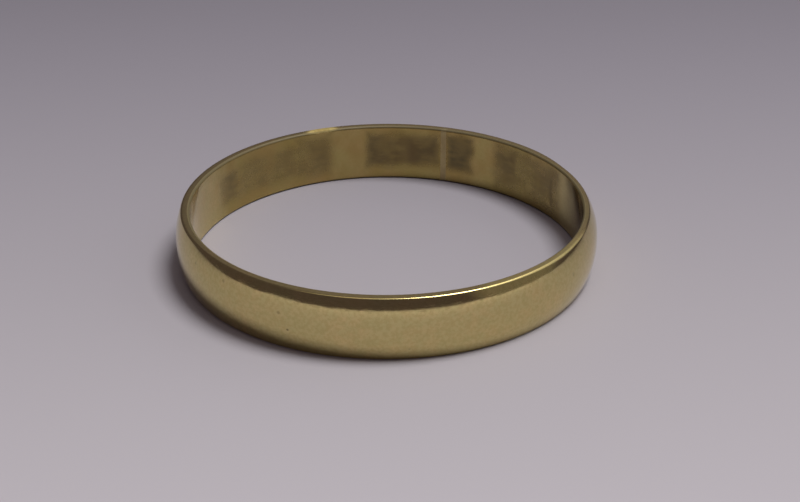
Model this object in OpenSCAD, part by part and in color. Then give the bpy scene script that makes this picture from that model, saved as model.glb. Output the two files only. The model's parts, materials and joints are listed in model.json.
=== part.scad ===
// Wedding band: a thin, low-domed gold strip bent into a hoop and closed by one solder seam.
// Millimetres. The bore runs along +Z, and the origin is the middle of the rim it lies on.
// The band and the solder are separate solids that meet face to face.

/* [Ring] */
// Ring size: the inner circumference in millimetres
ring_size = 59; // [41:1:76]
// Width of the band, measured along the finger
band_w = 3; // [2:0.1:6]

/* [Section] */
// Thickness at the crown, the middle of the domed outside
crown_t = 0.73; // [0.65:0.01:0.85]
// Thickness at each rim, where the dome ends
rim_t = 0.43; // [0.35:0.01:0.5]
// Rounding between the bore and each rim
inner_round_r = 0.12; // [0.05:0.01:0.14]
// Rounding between the dome and each rim
outer_round_r = 0.12; // [0.05:0.01:0.14]

/* [Solder seam] */
// Width of the solder line across the band
seam_w = 0.3; // [0.1:0.05:0.6]
// Place of the solder line, in degrees from +X towards +Y
seam_azimuth = 71.7; // [71:0.1:73]

/* [Worn stamps] */
// Width of one blank stamp, along the inside of the band
stamp_w = 1.5; // [0.8:0.1:1.6]
// Height of one blank stamp, across the band
stamp_h = 1.5; // [0.6:0.1:1.6]
// Depth of a stamp below the bore
stamp_depth = 0.04; // [0.02:0.01:0.08]
// Distance between the middles of neighbouring stamps in a group
stamp_pitch = 2.1; // [1.7:0.1:2.1]

/* [Hidden] */

gold = "#c8aa5c";
solder_gold = "#d9c07a";

bore_r = ring_size / (2 * PI);
mid_z = band_w / 2;

function degrees_along_bore(length) = 360 * length / ring_size;

// The dome is one arc through the crown and the two rims. The section is drawn with the
// distance from the bore's axis across, and the height up.
dome_rise = crown_t - rim_t;
dome_r = (mid_z * mid_z + dome_rise * dome_rise) / (2 * dome_rise);
dome_mid_r = bore_r + crown_t - dome_r;

// The middles of the roundings. Each outer one nests in the dome, stands a hair proud of it and
// is cut by it, and it takes over from the dome this high above the rim.
round_proud = outer_round_r / 60;
nested_r = dome_r - outer_round_r;
nested_z = mid_z - outer_round_r;
inner_round_mid_r = bore_r + inner_round_r;
outer_round_mid_r = dome_mid_r + sqrt(pow(nested_r, 2) - pow(nested_z, 2)) + round_proud;
shoulder_z = outer_round_r * (1 - nested_z / nested_r);

seam_sweep = degrees_along_bore(seam_w);
stamp_sweep = degrees_along_bore(stamp_w);

// Each group of stamps is the azimuth of its middle and the number of stamps in it.
stamp_groups = [[131, 4], [78.5, 3], [39, 2]];

// One round just inside each rim
module rim_rounds(middle_r, r) {
    for (z = [r, band_w - r]) translate([middle_r, z]) circle(r = r, $fn = 48);
}

// A straight-sided strip with rounded rims, thicker than the band
module rounded_strip() {
    translate([bore_r, inner_round_r])
        square([rim_t / 2, band_w - 2 * inner_round_r]);
    translate([inner_round_mid_r, shoulder_z])
        square([crown_t, band_w - 2 * shoulder_z]);
    translate([inner_round_mid_r, 0])
        square([outer_round_mid_r - inner_round_mid_r, band_w]);
    rim_rounds(inner_round_mid_r, inner_round_r);
    rim_rounds(outer_round_mid_r, outer_round_r);
}

// The D-shaped section of the band and of the solder
module section() {
    intersection() {
        rounded_strip();
        translate([dome_mid_r, mid_z]) circle(r = dome_r, $fn = 360);
    }
}

module hoop(start, sweep) {
    rotate_extrude(angle = sweep, start = start, $fn = 180) section();
}

// One shallow stamp with no mark in it, sunk into the bore
module blank_stamp(azimuth) {
    rotate_extrude(angle = stamp_sweep, start = azimuth - stamp_sweep / 2, $fn = 180)
        translate([bore_r - stamp_depth, mid_z - stamp_h / 2])
            square([2 * stamp_depth, stamp_h]);
}

module stamp_group(azimuth, count) {
    for (i = [0:count - 1])
        blank_stamp(azimuth + degrees_along_bore(stamp_pitch) * (i - (count - 1) / 2));
}

// The gold strip, with its two ends either side of the solder
module band() {
    color(gold) difference() {
        hoop(seam_azimuth + seam_sweep / 2, 360 - seam_sweep);
        for (group = stamp_groups) stamp_group(group[0], group[1]);
    }
}

// The solder that fills the gap between the strip's ends, dressed flush with the band
module solder_seam() {
    color(solder_gold) hoop(seam_azimuth - seam_sweep / 2, seam_sweep);
}

band();
solder_seam();
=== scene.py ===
"""A worn yellow-gold wedding band, lying flat on a plain pale surface in soft light.

The band and the solder that closes it are each one mesh: the D-shaped section is carried round
the bore, and every point is then moved by the wear that it has there.
Lengths are metres unless a comment says otherwise. Azimuths run from +X towards +Y, in degrees.
"""
import json
import math

import bpy
import numpy as np
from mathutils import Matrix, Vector, noise


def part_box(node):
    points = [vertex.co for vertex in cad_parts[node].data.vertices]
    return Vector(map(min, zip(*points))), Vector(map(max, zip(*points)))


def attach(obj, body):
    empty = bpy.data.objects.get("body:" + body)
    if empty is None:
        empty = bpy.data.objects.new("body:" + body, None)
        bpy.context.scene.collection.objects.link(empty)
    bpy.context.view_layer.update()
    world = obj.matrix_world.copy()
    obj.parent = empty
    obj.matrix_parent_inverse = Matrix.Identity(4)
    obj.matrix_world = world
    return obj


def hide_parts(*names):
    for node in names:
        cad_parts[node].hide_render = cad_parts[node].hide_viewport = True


MM = 1e-3
SEED = 59

# Section of the band. The bore, the width and the outer size come from the frame.
RIM_T = 0.43 * MM
INNER_ROUND = 0.12 * MM
OUTER_ROUND = 0.12 * MM

# Solder line, and how far and how deep the ends of the band are worn down beside it
SEAM_W = 0.3 * MM
SEAM_SUNK = 0.010 * MM
END_ROUND = 0.05 * MM
END_DROP = 0.008 * MM

# Blank stamps inside the band: the azimuth of each group's middle, and how many it has. Then the
# size of one, how wide its worn edge is, how far the edge wanders, and how dirty the stamp is.
STAMP_GROUPS = [(131.0, 4), (78.5, 3), (39.0, 2)]
STAMP_W = 1.5 * MM
STAMP_H = 1.5 * MM
STAMP_DEPTH = 0.04 * MM
STAMP_PITCH = 2.1 * MM
STAMP_EDGE = 0.45 * MM
STAMP_WANDER = 0.14 * MM
STAMP_DIRT = 0.15
# The share of its depth that a worn stamp keeps: usual, least and most
STAMP_LEFT = (0.5, 0.2, 1.0)

# Dirt on the bore: from and to azimuth, lowest and highest point in millimetres, strength. Then
# how wide its soft edges are, and how far they wander.
STAINS = [
    (23, 53, 0.3, 2.8, 0.42),
    (44, 53, 1.1, 2.7, 0.60),
    (61.5, 70.5, 0.9, 2.7, 0.82),
    (73, 96.5, 0.8, 2.6, 0.68),
    (109.5, 121, 0.5, 2.7, 0.50),
    (121, 153, 0.6, 2.4, 0.33),
    (144.5, 151, 0.7, 2.3, 0.52),
    (215, 250, 0.6, 2.5, 0.35),
    (290, 330, 0.7, 2.6, 0.30),
]
STAIN_EDGE = 0.7 * MM
STAIN_WANDER = 0.2 * MM
# How far the bore has tarnished: azimuth and share, the same at 0 and 360
FILM = [(0, 0.1), (20, 0.1), (25, 0.8), (52, 0.8), (55, 0.7), (60, 0.7), (63, 0.9), (96, 0.9),
        (99, 0.75), (108, 0.75), (111, 0.85), (150, 0.8), (158, 0.15), (185, 0.2), (215, 0.7),
        (325, 0.7), (350, 0.2), (360, 0.1)]
# Where the upper rim is scuffed to a facet along its inner edge, over how many degrees that fades,
# the facet's tilt and depth, and how much of the dull film is rubbed off it
RUB_ARC = (107, 116)
RUB_FADE = 3
RUB_TILT = 18
RUB_DEPTH = 0.06 * MM
RUB_CLEAN = 0.6
# Wear of the shoulder by the upper rim: azimuth and share, the same at 0 and 360. Then its depth,
# the height above which it shows, and how much of it the lower rim has.
SHOULDER_WEAR = [(0, 1.0), (24, 0.9), (38, 0.1), (90, 0.0), (150, 0.0), (190, 0.1), (212, 0.45),
                 (230, 0.28), (243, 0.0), (295, 0.0), (305, 0.15), (318, 0.4), (345, 1.0),
                 (360, 1.0)]
SHOULDER_DEPTH = 0.13 * MM
SHOULDER_FROM = 1.9 * MM
LOWER_SHARE = 0.4

# How dull the outer rounding of the rims is: azimuth and share, the same at 0 and 360
EDGE_WEAR = [(0, 1.0), (293, 1.0), (298, 3.0), (335, 3.0), (345, 1.0), (360, 1.0)]

# Unevenness of the metal: the size of the lumps in each pattern and a shift that sets it apart
# from the others, and then how high they stand
SLOW = (2.6 * MM, 4.0)
LUMPS = (0.7 * MM, 9.0)
GRAINS = (0.22 * MM, 17.0)
OUTSIDE_LUMPS = 0.006 * MM
BORE_LUMPS = 0.003 * MM
# How far the metal has to face in, out or up for a zone to begin, and to be full
BORE_IN = (0.6, 0.95)
SEAM_IN = (0.2, 0.9)
DOME_OUT = (0.2, 0.9)
INNER_EDGE_UP, INNER_EDGE_IN = (0.15, 0.4), (0.02, 0.2)
OUTER_EDGE_UP, OUTER_EDGE_OUT = (0.44, 0.6), (-0.3, 0.05)
SCUFF_UP = (0.2, 0.6)
# The whole dome faces out more than this
DOMED = 0.8
# Knocks on the outside: how many, and the range of their height, as a share of the width, and of
# their radius and depth
DENTS = 34
DENT_HEIGHT = (0.1, 0.95)
DENT_RADIUS = (0.22 * MM, 0.6 * MM)
DENT_DEPTH = (0.0015 * MM, 0.006 * MM)
# Single pits on the outside: azimuth, height and radius in millimetres, and how dark each one is
PITS = [(-135.5, 2.36, 0.09, 0.3), (-114.7, 1.12, 0.055, 0.7), (-117.1, 1.86, 0.08, 0.35),
        (-149, 2.3, 0.06, 0.35), (-84, 0.62, 0.05, 0.3), (-33, 1.9, 0.10, 0.25),
        (28, 1.4, 0.06, 0.6), (96, 2.0, 0.07, 0.4), (170, 1.1, 0.05, 0.6)]

# Steps of the mesh: degrees round the bore, finer over the arc with the stamps, and how many
# points there are across the solder and along each stretch of the section
FINE_ARC = (15.0, 165.0)
FINE_STEP = 0.28
COARSE_STEP = 0.52
SEAM_STEPS = 12
ROUND_STEPS = 8
FLAT_STEPS = 3
WALL_STEPS = 34
SHARP_ANGLE = 60

# Camera, placed from the middle of the band
CAMERA_OFFSET = Vector((0.64, -66.64, 32.51)) * MM
CAMERA_PITCH = 26.84
CAMERA_LENS = 68.93
SENSOR_WIDTH = 36.0
CLIP_START, CLIP_END = 0.002, 10.0

# Lamps
KEY_DIRECTION = (0.326, 0.02, 0.945)
KEY_DISTANCE = 0.6
KEY_SIZE = 0.27
KEY_POWER = 2.2
KEY_COLOR = (1.0, 0.985, 0.965)
FILL_DIRECTION = (0.80, 0.27, 0.50)
FILL_DISTANCE = 0.7
FILL_SIZE = 0.64
FILL_POWER = 0.42
FILL_COLOR = (1.0, 0.98, 0.96)

# The room: its colour and its lighter parts, then the direction that each part lies in, and how
# close to it, as the cosine of the angle between, the part begins and is full
ROOM = (0.085, 0.068, 0.081, 1)
ROOM_BEHIND = (0.215, 0.19, 0.20, 1)
ROOM_RIGHT = (0.205, 0.183, 0.175, 1)
ROOM_OVERHEAD = (0.66, 0.61, 0.58, 1)
BEHIND_DIRECTION = (0.15, 0.82, 0.55)
BEHIND_SPAN = (0.91, 0.985)
RIGHT_DIRECTION = (0.93, -0.28, 0.24)
RIGHT_SPAN = (0.84, 0.95)
OVERHEAD_SPAN = (0.88, 1.0)
BACKDROP = (0.38, 0.365, 0.40, 1)

# The floor: its tints, where one turns to the other, how fast the painted light on it fades to the
# back, the least and the most share of that painted light that is left, and how softly it reaches the
# most
FLOOR_WIDTH = 4.0
FLOOR_ROUGH = 0.9
FLOOR_SHINE = 0.1
FLOOR_FRONT = (0.49, 0.467, 0.505, 1)
FLOOR_BACK = (0.49, 0.462, 0.535, 1)
FLOOR_TINT_SPAN = (-0.02, 0.04)
FLOOR_PAINTED_LIGHT_FADE = 0.076
FLOOR_PAINTED_LIGHT_SHARE = (0.45, 1.6)
FLOOR_SOFTENING = 0.6

# Metal
GOLD = (0.66, 0.55, 0.25, 1)
GOLD_WARM = (0.70, 0.55, 0.25, 1)
GOLD_GREEN = (0.61, 0.54, 0.24, 1)
TARNISH = (0.43, 0.335, 0.105, 1)
TARNISH_RED = (0.43, 0.30, 0.10, 1)
DIRT = (0.20, 0.135, 0.055, 1)
DIRT_GREEN = (0.185, 0.150, 0.065, 1)
EDGE_FILM = (0.15, 0.12, 0.06, 1)
PIT = (0.12, 0.09, 0.05, 1)
SOLDER = (0.39, 0.30, 0.145, 1)
SOLDER_OUTSIDE = (0.68, 0.59, 0.29, 1)
# Roughness of the clean gold, and what each kind of wear adds to it
ROUGH_LOW, ROUGH_HIGH = 0.06, 0.11
TARNISH_ROUGH = 0.12
DIRT_ROUGH = 0.25
DULL_ROUGH = 0.45
EDGE_ROUGH = 0.12
SCUFF_ROUGH = 0.65
SOLDER_ROUGH_OUTSIDE, SOLDER_ROUGH_INSIDE = 0.1, 0.3
# How much the colour varies: the green in the gold, the tarnish on it, and the dirt's thickness
GREENISH = 0.6
MOTTLE = 0.3
DIRT_UNEVEN = (0.65, 1.05)
# How far the dull film hides the metal's colour and its shine, and the dirt its shine
DULL_COLOR = 0.9
DULL_SHINE = 0.8
DIRT_SHINE = 0.5
SOLDER_DULL_COLOR = 0.7
SOLDER_DULL_SHINE = 0.7
# The stretch of a noise pattern's values that most of it lies in, for one pattern and for the two
# patterns of the dirt added up
NOISE_SPAN = (0.35, 0.65)
DIRT_SPAN = (0.75, 1.2)
# Changes of the patterns in each metre
BROAD_SCALE = 420.0
CLUMP_SCALE = 900.0
SOLDER_SCALE = 1500.0
SMALL_SCALE = 2300.0
FINE_SCALE = 6400.0
SCRATCH_DEPTH = 0.0002 * MM
GRAIN_DEPTH = 0.0003 * MM
PIT_DEPTH = 0.02 * MM
# Changes of a drawn-out pattern in each millimetre, along the band and across it
SCRATCH_STRETCH = (0.5, 9.0, 1.0)
STREAK_STRETCH = (0.7, 2.6, 1.0)
FILE_STRETCH = (30.0, 2.0, 1.0)
# Scratches show only where a pattern of this scale is above the first share, fully at the second
SCRATCH_WHERE_SCALE = 1.3
SCRATCH_WHERE = (0.5, 0.66)
# A pit is fully dark inside this share of its radius, and gone at the second
PIT_EDGE = (0.3, 1.5)
# The angle to the band, a shift and a width for each layer of scratches
SCRATCH_LAYERS = [(4, 0, 0.012), (-7, 20, 0.010), (31, 40, 0.010), (-52, 60, 0.009), (78, 80, 0.008)]

rng = np.random.default_rng(SEED)


# ---------------------------------------------------------------- shape

def arc(middle, radius, start, end, steps):
    """Stations along an arc of the section: place and outward normal, without the last one."""
    turns = np.radians(np.linspace(start, end, steps, endpoint=False))
    normals = np.stack([np.cos(turns), np.sin(turns)], axis=1)
    return np.array(middle) + radius * normals, normals


def line(start, end, steps, normal):
    """Stations along a straight stretch of the section, without the last one."""
    share = np.linspace(0, 1, steps, endpoint=False)[:, None]
    places = np.array(start) + share * (np.array(end) - np.array(start))
    return places, np.tile(np.array(normal, float), (steps, 1))


class Section:
    """The D-shaped section, from the foot of the bore wall round by the lower rim and the dome."""

    def __init__(self, bore_r, outer_r, width):
        crown_t = outer_r - bore_r
        half = width / 2
        rise = crown_t - RIM_T
        dome_r = (half * half + rise * rise) / (2 * rise)
        dome_mid = outer_r - dome_r
        reach = dome_r - OUTER_ROUND
        outer_mid = dome_mid + math.sqrt(reach**2 - (half - OUTER_ROUND) ** 2)
        tilt = math.degrees(math.asin((half - OUTER_ROUND) / reach))
        inner_mid = bore_r + INNER_ROUND
        stretches = [
            arc((inner_mid, INNER_ROUND), INNER_ROUND, 180, 270, ROUND_STEPS),
            line((inner_mid, 0), (outer_mid, 0), FLAT_STEPS, (0, -1)),
            arc((outer_mid, OUTER_ROUND), OUTER_ROUND, 270, 360 - tilt, ROUND_STEPS),
            arc((dome_mid, half), dome_r, -tilt, tilt, WALL_STEPS),
            arc((outer_mid, width - OUTER_ROUND), OUTER_ROUND, tilt, 90, ROUND_STEPS),
            line((outer_mid, width), (inner_mid, width), FLAT_STEPS, (0, 1)),
            arc((inner_mid, width - INNER_ROUND), INNER_ROUND, 90, 180, ROUND_STEPS),
            line((bore_r, width - INNER_ROUND), (bore_r, INNER_ROUND), WALL_STEPS, (-1, 0)),
        ]
        self.places = np.concatenate([s[0] for s in stretches])
        self.normals = np.concatenate([s[1] for s in stretches])
        steps = np.linalg.norm(np.diff(self.places, axis=0, prepend=self.places[:1]), axis=1)
        self.along = np.cumsum(steps)
        self.bore_r, self.outer_r, self.width = bore_r, outer_r, width


def wear_at(table, azimuths):
    """The share that a table of azimuths and shares gives at each azimuth, as a column."""
    return np.interp(azimuths % 360, *zip(*table))[:, None]


def smooth(low, high, value):
    """0 below low and 1 above high, with a soft change between."""
    t = np.clip((value - low) / (high - low), 0, 1)
    return t * t * (3 - 2 * t)


def box_mask(across, up, half_w, half_h, edge):
    """1 inside a box around 0, 0 outside it, with an edge of that width."""
    inside = np.minimum(half_w - np.abs(across), half_h - np.abs(up))
    return smooth(-edge / 2, edge / 2, inside)


def cloud(places, size, offset):
    """Smooth noise from -1 to 1 at each place, with lumps of about that size."""
    shift = Vector((offset, 2 * offset, 3 * offset))
    values = [noise.noise(Vector(p) / size + shift) for p in places.reshape(-1, 3)]
    return np.array(values).reshape(places.shape[:2])


def stamp_azimuths(bore_r):
    pitch = math.degrees(STAMP_PITCH / bore_r)
    for middle, count in STAMP_GROUPS:
        for i in range(count):
            yield middle + pitch * (i - (count - 1) / 2)


def grid(section, azimuths):
    """The place and the normal of every point, azimuth by azimuth."""
    turns = np.radians(azimuths)[:, None]
    r, z = section.places.T
    nr, nz = section.normals.T
    flat = np.ones_like(turns)
    places = np.stack([np.cos(turns) * r, np.sin(turns) * r, flat * z], axis=-1)
    normals = np.stack([np.cos(turns) * nr, np.sin(turns) * nr, flat * nz], axis=-1)
    return places, normals


def make_mesh(name, places, attributes):
    """A closed strip: rings of section points joined along the azimuths, with a cap at each end."""
    stations, count = places.shape[:2]
    k, j = np.meshgrid(np.arange(stations - 1), np.arange(count), indexing="ij")
    here = k * count + j
    beside = k * count + (j + 1) % count
    quads = np.stack([here, here + count, beside + count, beside], axis=-1).reshape(-1, 4)
    first = list(range(count))
    last = [i + (stations - 1) * count for i in reversed(first)]
    mesh = bpy.data.meshes.new(name)
    mesh.from_pydata(places.reshape(-1, 3).tolist(), [], quads.tolist() + [first, last])
    for key, values in attributes.items():
        kind = "FLOAT_VECTOR" if values.ndim == 3 else "FLOAT"
        held = mesh.attributes.new(key, kind, "POINT")
        held.data.foreach_set("vector" if values.ndim == 3 else "value",
                              values.astype(np.float32).ravel())
    mesh.validate()
    mesh.shade_smooth()
    mesh.set_sharp_from_angle(angle=math.radians(SHARP_ANGLE))
    obj = bpy.data.objects.new(name, mesh)
    bpy.context.collection.objects.link(obj)
    return obj


def surface_numbers(section, azimuths):
    """Millimetres round the bore and along the section, for the wear patterns to follow."""
    round_bore = np.radians(azimuths) * section.bore_r / MM
    u, v = np.meshgrid(round_bore, section.along / MM, indexing="ij")
    return np.stack([u, v, np.zeros_like(u)], axis=-1)


def arc_length(azimuths, middle, radius):
    """How far each azimuth lies from the middle one, along the bore."""
    return np.radians((azimuths - middle + 180) % 360 - 180) * radius


def stamp_mask(section, azimuths, up, wander):
    """1 in the blank stamps, whose edges have worn soft and uneven."""
    mask = np.zeros(up.shape)
    for azimuth in stamp_azimuths(section.bore_r):
        across = arc_length(azimuths, azimuth, section.bore_r)[:, None] + wander * STAMP_WANDER
        box = box_mask(across, up + wander * STAMP_WANDER, STAMP_W / 2, STAMP_H / 2, STAMP_EDGE)
        mask = np.maximum(mask, box)
    return mask


def stain_mask(section, azimuths, up, wander):
    """How dirty the bore is, with patches that have soft, wandering edges."""
    mask = np.zeros(up.shape)
    for start, end, low, high, strength in STAINS:
        across = arc_length(azimuths, (start + end) / 2, section.bore_r)[:, None]
        middle = (low + high) / 2 * MM - section.width / 2
        half_w = math.radians(end - start) / 2 * section.bore_r
        box = box_mask(across + wander * STAIN_WANDER, up - middle - wander * STAIN_WANDER,
                       half_w, (high - low) / 2 * MM, STAIN_EDGE)
        mask = np.maximum(mask, strength * box)
    return mask


def dents(section, places):
    """How far seeded knocks have pushed in the outside, at each point."""
    depth = np.zeros(places.shape[:2])
    for _ in range(DENTS):
        turn = rng.uniform(0, 2 * math.pi)
        height = rng.uniform(*DENT_HEIGHT) * section.width
        radius = rng.uniform(*DENT_RADIUS)
        deep = rng.uniform(*DENT_DEPTH)
        middle = np.array([math.cos(turn) * section.outer_r, math.sin(turn) * section.outer_r,
                           height])
        away = np.linalg.norm(places - middle, axis=-1) / radius
        depth += deep * np.exp(-(away**2) * 2)
    return depth


def worn_shoulders(section, azimuths, places, up):
    """The places with the shoulders drawn in beside the rims, more by the upper rim."""
    share = wear_at(SHOULDER_WEAR, azimuths)
    half = section.width / 2
    start = SHOULDER_FROM - half
    past = np.clip((np.abs(up) - start) / (half - start), 0, 1) ** 2
    away = np.linalg.norm(places[..., :2], axis=-1)
    reach = np.clip((away - section.bore_r - INNER_ROUND) / (RIM_T - INNER_ROUND), 0, 1)
    drawn = SHOULDER_DEPTH * share * past * np.where(up > 0, 1.0, LOWER_SHARE) * reach
    return places * np.stack([1 - drawn / away, 1 - drawn / away, np.ones_like(away)], axis=-1)


def rub_share(azimuths):
    """1 where the inner edge of the upper rim is rubbed, and 0 elsewhere."""
    middle, half = sum(RUB_ARC) / 2, (RUB_ARC[1] - RUB_ARC[0]) / 2
    away = np.abs((azimuths - middle + 180) % 360 - 180)
    return 1 - smooth(half - RUB_FADE, half + RUB_FADE, away)


def rub_facet(section, azimuths, places, rub):
    """The places with the inner edge of the upper rim pressed down to a tilted facet."""
    turns, tilt = np.radians(azimuths), math.radians(RUB_TILT)
    inward = -math.sin(tilt)
    facing = np.stack([inward * np.cos(turns), inward * np.sin(turns),
                       np.full_like(turns, math.cos(tilt))], axis=-1)
    middle_r, middle_z = section.bore_r + INNER_ROUND, section.width - INNER_ROUND
    level = inward * middle_r + math.cos(tilt) * middle_z + INNER_ROUND - RUB_DEPTH * rub
    above = np.clip((places * facing[:, None, :]).sum(axis=-1) - level[:, None], 0, None)
    return places - (above * (rub > 0)[:, None])[..., None] * facing[:, None, :]


def band_azimuths(start, end):
    """Azimuths from one end of the strip to the other, closer together round the stamps."""
    fine_from, fine_to = FINE_ARC
    stops = [(start, fine_to, FINE_STEP), (fine_to, 360 + fine_from, COARSE_STEP),
             (360 + fine_from, end, FINE_STEP)]
    runs = [np.linspace(a, b, round((b - a) / step), endpoint=False) for a, b, step in stops]
    return np.concatenate(runs + [[end]])


def edge_film(section):
    """1 on the inner edge of both rims, where the film is dull, for each point of the section."""
    facing_out, facing_up = section.normals.T
    return smooth(*INNER_EDGE_UP, np.abs(facing_up)) * smooth(*INNER_EDGE_IN, -facing_out)


def band_piece(section, seam_azimuth):
    half_seam = math.degrees(SEAM_W / section.bore_r) / 2
    start, end = seam_azimuth + half_seam, seam_azimuth + 360 - half_seam
    azimuths = band_azimuths(start, end)
    places, normals = grid(section, azimuths)
    up = np.tile(section.places[:, 1] - section.width / 2, (len(azimuths), 1))
    facing_out, facing_up = section.normals.T
    inside = smooth(*BORE_IN, -facing_out)
    outside = smooth(*DOME_OUT, facing_out)

    slow = cloud(places, *SLOW)
    lumps = cloud(places, *LUMPS)
    grains = cloud(places, *GRAINS)

    # Stamps, unevenness and knocks, and the ends worn down beside the solder, along the normals
    stamps = inside * stamp_mask(section, azimuths, up, lumps + 0.4 * grains)
    usual, least, most = STAMP_LEFT
    depth = STAMP_DEPTH * stamps * np.clip(usual + 0.25 * lumps + 0.05 * grains, least, most)
    depth += outside * (OUTSIDE_LUMPS * (slow + 0.35 * lumps) + dents(section, places))
    depth += inside * BORE_LUMPS * lumps
    to_end = np.radians(np.minimum(azimuths - start, end - azimuths)) * section.bore_r
    depth += (END_DROP * (1 - smooth(0, END_ROUND, to_end)))[:, None] * (0.3 + 0.7 * inside)
    places = places - normals * depth[..., None]

    # Wear of the shoulders and of the rubbed rim
    rub = rub_share(azimuths)
    places = worn_shoulders(section, azimuths, places, up)
    places = rub_facet(section, azimuths, places, rub)

    # What the material reads: where the metal is tarnished, dirty, dull or scuffed
    scuff = rub[:, None] * smooth(*SCUFF_UP, facing_up)
    outer_edge = smooth(*OUTER_EDGE_UP, np.abs(facing_up)) * smooth(*OUTER_EDGE_OUT, facing_out)
    stains = inside * stain_mask(section, azimuths, up, slow + 0.6 * lumps)
    return make_mesh("gold_band", places, {
        "surface": surface_numbers(section, azimuths),
        "film": np.clip(inside * (wear_at(FILM, azimuths) + 0.15 * lumps), 0, 1),
        "grime": np.clip(stains + STAMP_DIRT * stamps, 0, 1),
        "dull_edge": edge_film(section) * (1 - RUB_CLEAN * scuff),
        "outer_edge": outer_edge * wear_at(EDGE_WEAR, azimuths),
        "scuff": scuff,
    })


def seam_piece(section, seam_azimuth):
    half = math.degrees(SEAM_W / section.bore_r) / 2
    azimuths = seam_azimuth + np.linspace(-half, half, SEAM_STEPS)
    places, normals = grid(section, azimuths)
    inside = smooth(*SEAM_IN, -section.normals[:, 0])
    across = (azimuths - seam_azimuth) / half
    depth = SEAM_SUNK * (0.7 + 0.3 * across**4)[:, None] * (0.25 + 0.75 * inside)
    places = places - normals * depth[..., None]
    return make_mesh("solder_line", places, {
        "surface": surface_numbers(section, azimuths),
        "bore": np.tile(inside, (SEAM_STEPS, 1)),
        "dull_edge": np.tile(edge_film(section), (SEAM_STEPS, 1)),
    })


# ---------------------------------------------------------------- materials

class Graph:
    """The nodes of a material or world, joined with short calls. A value is a socket or number."""

    def __init__(self, owner):
        self.owner = owner
        owner.use_nodes = True
        self.nodes = owner.node_tree.nodes
        self.links = owner.node_tree.links

    @property
    def shader(self):
        return self.nodes["Principled BSDF"]

    def put(self, value, socket):
        if isinstance(value, bpy.types.NodeSocket):
            self.links.new(value, socket)
        else:
            socket.default_value = value

    def math(self, operation, *values):
        node = self.nodes.new("ShaderNodeMath")
        node.operation = operation
        for value, socket in zip(values, node.inputs):
            self.put(value, socket)
        return node.outputs[0]

    def vector_math(self, operation, first, second):
        """A number worked out from two vectors."""
        node = self.nodes.new("ShaderNodeVectorMath")
        node.operation = operation
        self.put(first, node.inputs[0])
        self.put(second, node.inputs[1])
        return node.outputs["Value"]

    def fit(self, value, low, high, to_low=0.0, to_high=1.0, kind="SMOOTHSTEP"):
        """The value's stretch from low to high, carried to another stretch and held at its ends."""
        node = self.nodes.new("ShaderNodeMapRange")
        node.interpolation_type = kind
        for key, number in (("Value", value), ("From Min", low), ("From Max", high),
                            ("To Min", to_low), ("To Max", to_high)):
            self.put(number, node.inputs[key])
        return node.outputs["Result"]

    def mix(self, share, first, second, blend="MIX"):
        node = self.nodes.new("ShaderNodeMix")
        node.data_type = "RGBA"
        node.blend_type = blend
        self.put(share, node.inputs["Factor"])
        self.put(first, node.inputs[6])
        self.put(second, node.inputs[7])
        return node.outputs[2]

    def attribute(self, name, output="Fac"):
        node = self.nodes.new("ShaderNodeAttribute")
        node.attribute_name = name
        return node.outputs[output]

    def place(self):
        """The frame's own coordinates, in metres."""
        return self.nodes.new("ShaderNodeTexCoord").outputs["Object"]

    def axis(self, vector, name):
        node = self.nodes.new("ShaderNodeSeparateXYZ")
        self.put(vector, node.inputs[0])
        return node.outputs[name]

    def turned(self, vector, angle, scale, shift=0.0):
        node = self.nodes.new("ShaderNodeMapping")
        self.put(vector, node.inputs["Vector"])
        node.inputs["Rotation"].default_value = (0, 0, math.radians(angle))
        node.inputs["Scale"].default_value = scale
        node.inputs["Location"].default_value = (shift, shift / 2, 0)
        return node.outputs[0]

    def noise(self, vector, scale, detail=2.0, roughness=0.5):
        node = self.nodes.new("ShaderNodeTexNoise")
        self.put(vector, node.inputs["Vector"])
        node.inputs["Scale"].default_value = scale
        node.inputs["Detail"].default_value = detail
        node.inputs["Roughness"].default_value = roughness
        return node.outputs["Fac"]

    def bump(self, height, distance, normal=None):
        node = self.nodes.new("ShaderNodeBump")
        node.inputs["Distance"].default_value = distance
        self.put(height, node.inputs["Height"])
        if normal is not None:
            self.put(normal, node.inputs["Normal"])
        return node.outputs["Normal"]

    def pits(self, surface, places):
        """Each pit's strength in a small round spot, and 0 elsewhere."""
        full, gone = PIT_EDGE
        mask = None
        for middle, radius, strength in places:
            away = self.vector_math("DISTANCE", surface, middle)
            hole = self.fit(away, radius * full, radius * gone, strength, 0.0)
            mask = hole if mask is None else self.math("MAXIMUM", mask, hole)
        return mask

    def scratches(self, surface, angle, shift, width):
        """Hair-thin lines at an angle to the band: where slow, drawn-out noise crosses its middle."""
        stretched = self.turned(surface, angle, SCRATCH_STRETCH, shift)
        off_middle = self.math("ABSOLUTE", self.math("SUBTRACT", self.noise(stretched, 1.0), 0.5))
        lines = self.fit(off_middle, 0.0, width, 1.0, 0.0)
        where = self.noise(self.turned(surface, angle, (1, 1, 1), shift + 5), SCRATCH_WHERE_SCALE)
        return self.math("MULTIPLY", lines, self.fit(where, *SCRATCH_WHERE))


def pit_numbers(section, seam_azimuth):
    """Each pit's place in the surface numbers, its radius in millimetres and its strength."""
    domed = section.normals[:, 0] > DOMED
    heights, along = section.places[domed, 1], section.along[domed]
    for azimuth, height, radius, strength in PITS:
        past_seam = seam_azimuth + (azimuth - seam_azimuth) % 360
        round_bore = math.radians(past_seam) * section.bore_r / MM
        yield (round_bore, np.interp(height * MM, heights, along) / MM, 0), radius, strength


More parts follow.
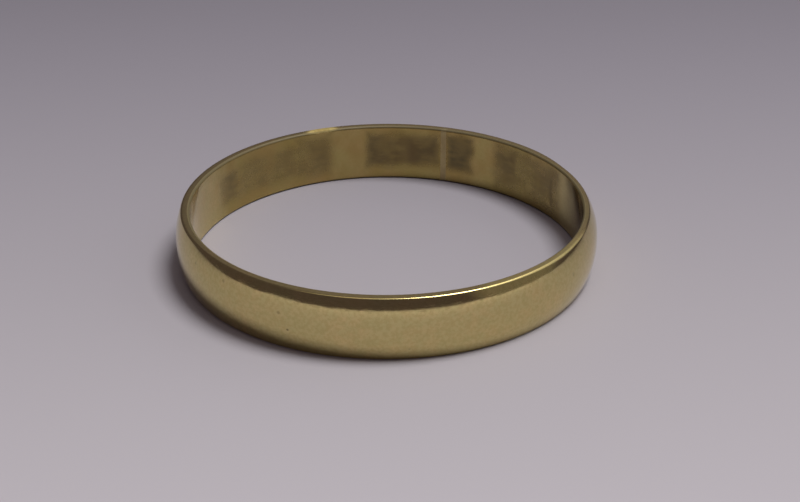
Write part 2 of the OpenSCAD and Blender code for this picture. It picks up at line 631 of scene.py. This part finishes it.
def gold_color(g, film, dirt, dull, fine):
    """Gold that varies a little, tarnished in the bore, with dirt and the dull film over it."""
    place = g.place()
    broad = g.fit(g.noise(place, BROAD_SCALE, 3.0), *NOISE_SPAN)
    small = g.fit(g.noise(place, SMALL_SCALE, 3.0, 0.6), *NOISE_SPAN)
    clean = g.mix(broad, GOLD, GOLD_WARM)
    clean = g.mix(g.math("MULTIPLY", small, GREENISH), clean, GOLD_GREEN)
    clean = g.mix(g.fit(fine, *NOISE_SPAN, 0.0, MOTTLE), clean, TARNISH)
    metal = g.mix(film, clean, g.mix(broad, TARNISH, TARNISH_RED))
    metal = g.mix(dirt, metal, g.mix(broad, DIRT, DIRT_GREEN))
    return g.mix(g.math("MULTIPLY", dull, DULL_COLOR), metal, EDGE_FILM)


def uneven_dirt(g, surface):
    """The dirt of the mesh, thicker in streaks and clumps."""
    streaks = g.noise(g.turned(surface, 0, STREAK_STRETCH), 1.0, 3.0, 0.55)
    clumps = g.noise(g.place(), CLUMP_SCALE, 3.0, 0.55)
    uneven = g.fit(g.math("ADD", streaks, clumps), *DIRT_SPAN, *DIRT_UNEVEN)
    return g.math("MULTIPLY", g.attribute("grime"), uneven)


def gold_material(section, seam_azimuth):
    """Worn polish outside, a tarnished film in the bore, and dirt where the stamps hold it."""
    g = Graph(bpy.data.materials.new("worn_gold"))
    surface = g.attribute("surface", "Vector")
    film = g.attribute("film")
    dull = g.attribute("dull_edge")
    dirt = uneven_dirt(g, surface)
    fine = g.noise(g.place(), FINE_SCALE, 2.0, 0.6)
    pit = g.pits(surface, pit_numbers(section, seam_azimuth))

    metal = gold_color(g, film, dirt, dull, fine)
    g.put(g.mix(pit, metal, PIT), g.shader.inputs["Base Color"])
    covered = g.math("MAXIMUM", g.math("MULTIPLY", dirt, DIRT_SHINE),
                     g.math("MULTIPLY", dull, DULL_SHINE))
    g.put(g.fit(covered, 0.0, 1.0, 1.0, 0.0, "LINEAR"), g.shader.inputs["Metallic"])

    rough = g.fit(fine, 0.35, 0.7, ROUGH_LOW, ROUGH_HIGH, "LINEAR")
    for amount, added in ((film, TARNISH_ROUGH), (dirt, DIRT_ROUGH), (dull, DULL_ROUGH),
                          (g.attribute("outer_edge"), EDGE_ROUGH),
                          (g.attribute("scuff"), SCUFF_ROUGH)):
        rough = g.math("ADD", rough, g.math("MULTIPLY", amount, added))
    g.put(rough, g.shader.inputs["Roughness"])

    lines = g.scratches(surface, *SCRATCH_LAYERS[0])
    for layer in SCRATCH_LAYERS[1:]:
        lines = g.math("ADD", lines, g.scratches(surface, *layer))
    normal = g.bump(g.math("MULTIPLY", lines, -1.0), SCRATCH_DEPTH)
    normal = g.bump(fine, GRAIN_DEPTH, normal)
    normal = g.bump(g.math("MULTIPLY", pit, -1.0), PIT_DEPTH, normal)
    g.put(normal, g.shader.inputs["Normal"])
    return g.owner


def solder_material():
    """Close to the gold outside, and darker, duller and filed flat inside the band."""
    g = Graph(bpy.data.materials.new("solder"))
    bore = g.attribute("bore")
    dull = g.attribute("dull_edge")
    tone = g.fit(g.noise(g.place(), SOLDER_SCALE, 2.0), 0.3, 0.7, 0.75, 1.0)
    metal = g.mix(g.math("MULTIPLY", bore, tone), SOLDER_OUTSIDE, SOLDER)
    metal = g.mix(g.math("MULTIPLY", dull, SOLDER_DULL_COLOR), metal, EDGE_FILM)
    g.put(metal, g.shader.inputs["Base Color"])
    shine = g.fit(dull, 0.0, 1.0, 1.0, 1.0 - SOLDER_DULL_SHINE, "LINEAR")
    g.put(shine, g.shader.inputs["Metallic"])
    rough = g.fit(bore, 0.0, 1.0, SOLDER_ROUGH_OUTSIDE, SOLDER_ROUGH_INSIDE, "LINEAR")
    rough = g.math("ADD", rough, g.math("MULTIPLY", dull, DULL_ROUGH))
    g.put(rough, g.shader.inputs["Roughness"])
    file_marks = g.noise(g.turned(g.attribute("surface", "Vector"), 0, FILE_STRETCH), 1.0)
    g.put(g.bump(file_marks, SCRATCH_DEPTH), g.shader.inputs["Normal"])
    return g.owner


def floor_material():
    """A pale matt surface, lighter towards the front by a painted falloff of light."""
    g = Graph(bpy.data.materials.new("pale_surface"))
    g.shader.inputs["Roughness"].default_value = FLOOR_ROUGH
    g.shader.inputs["Specular IOR Level"].default_value = FLOOR_SHINE
    back = g.axis(g.place(), "Y")
    # Painted falloff of light: the floor's colour is lighter towards the front and darker to the back
    fade = g.math("EXPONENT", g.math("DIVIDE", back, -FLOOR_PAINTED_LIGHT_FADE))
    least, most = FLOOR_PAINTED_LIGHT_SHARE
    share = g.math("MAXIMUM", g.math("SMOOTH_MIN", fade, most, FLOOR_SOFTENING), least)
    tint = g.mix(g.fit(back, *FLOOR_TINT_SPAN), FLOOR_FRONT, FLOOR_BACK)
    shade = g.mix(1.0, tint, share, "MULTIPLY")
    g.put(shade, g.shader.inputs["Base Color"])
    return g.owner


# ---------------------------------------------------------------- stage

def make_floor():
    bpy.ops.mesh.primitive_plane_add(size=FLOOR_WIDTH, location=(0, 0, 0))
    floor = bpy.context.object
    floor.name = "pale_floor"
    floor.data.materials.append(floor_material())


def aim(obj, target):
    obj.rotation_euler = (Vector(target) - obj.location).to_track_quat("-Z", "Y").to_euler()


def area_light(name, direction, distance, size, power, color):
    light = bpy.data.lights.new(name, "AREA")
    light.shape = "DISK"
    light.size = size
    light.energy = power
    light.color = color
    obj = bpy.data.objects.new(name, light)
    obj.location = Vector(direction).normalized() * distance
    bpy.context.collection.objects.link(obj)
    aim(obj, (0, 0, 0))


def make_world():
    """A dim room with three lighter parts, and a pale backdrop that only the camera sees."""
    g = Graph(bpy.data.worlds.new("studio"))
    bpy.context.scene.world = g.owner
    direction = g.nodes.new("ShaderNodeTexCoord").outputs["Generated"]
    behind = g.fit(g.vector_math("DOT_PRODUCT", direction, BEHIND_DIRECTION), *BEHIND_SPAN)
    overhead = g.fit(g.axis(direction, "Z"), *OVERHEAD_SPAN)
    right = g.fit(g.vector_math("DOT_PRODUCT", direction, RIGHT_DIRECTION), *RIGHT_SPAN)
    room = g.mix(right, g.mix(behind, ROOM, ROOM_BEHIND), ROOM_RIGHT)
    room = g.mix(overhead, room, ROOM_OVERHEAD)
    seen = g.nodes.new("ShaderNodeLightPath").outputs["Is Camera Ray"]
    g.put(g.mix(seen, room, BACKDROP), g.nodes["Background"].inputs["Color"])


def make_lights():
    area_light("key", KEY_DIRECTION, KEY_DISTANCE, KEY_SIZE, KEY_POWER, KEY_COLOR)
    area_light("fill", FILL_DIRECTION, FILL_DISTANCE, FILL_SIZE, FILL_POWER, FILL_COLOR)


def make_camera(middle):
    data = bpy.data.cameras.new("camera")
    data.sensor_width = SENSOR_WIDTH
    data.lens = CAMERA_LENS
    data.clip_start = CLIP_START
    data.clip_end = CLIP_END
    camera = bpy.data.objects.new("camera", data)
    camera.location = middle + CAMERA_OFFSET
    camera.rotation_euler = (math.radians(90 - CAMERA_PITCH), 0, 0)
    bpy.context.collection.objects.link(camera)
    bpy.context.scene.camera = camera


# ---------------------------------------------------------------- build

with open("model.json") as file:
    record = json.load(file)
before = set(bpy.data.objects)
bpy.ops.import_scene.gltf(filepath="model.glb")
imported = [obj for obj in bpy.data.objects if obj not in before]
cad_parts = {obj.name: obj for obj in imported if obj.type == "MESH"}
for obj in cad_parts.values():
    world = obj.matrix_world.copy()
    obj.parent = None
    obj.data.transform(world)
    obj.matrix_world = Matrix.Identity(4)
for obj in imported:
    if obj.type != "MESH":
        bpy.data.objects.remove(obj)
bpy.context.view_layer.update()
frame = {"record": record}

band_low, band_high = (Vector(corner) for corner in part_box("band"))
seam_low, seam_high = (Vector(corner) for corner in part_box("solder_seam"))
seam_middle = (seam_low + seam_high) / 2
bore = next(m for m in frame["record"]["mounts"] if m["name"] == "finger_bore")
section = Section(bore["dims"]["r_mm"] * MM, band_high.x, band_high.z - band_low.z)
seam_azimuth = math.degrees(math.atan2(seam_middle.y, seam_middle.x))

gold = gold_material(section, seam_azimuth)
solder = solder_material()

band = band_piece(section, seam_azimuth)
band.data.materials.append(gold)
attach(band, "root")
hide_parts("band")

seam = seam_piece(section, seam_azimuth)
seam.data.materials.append(solder)
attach(seam, "root")
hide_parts("solder_seam")

make_floor()
make_world()
make_lights()
make_camera(Vector((0, 0, section.width / 2)))
bpy.context.scene.view_settings.view_transform = "Standard"
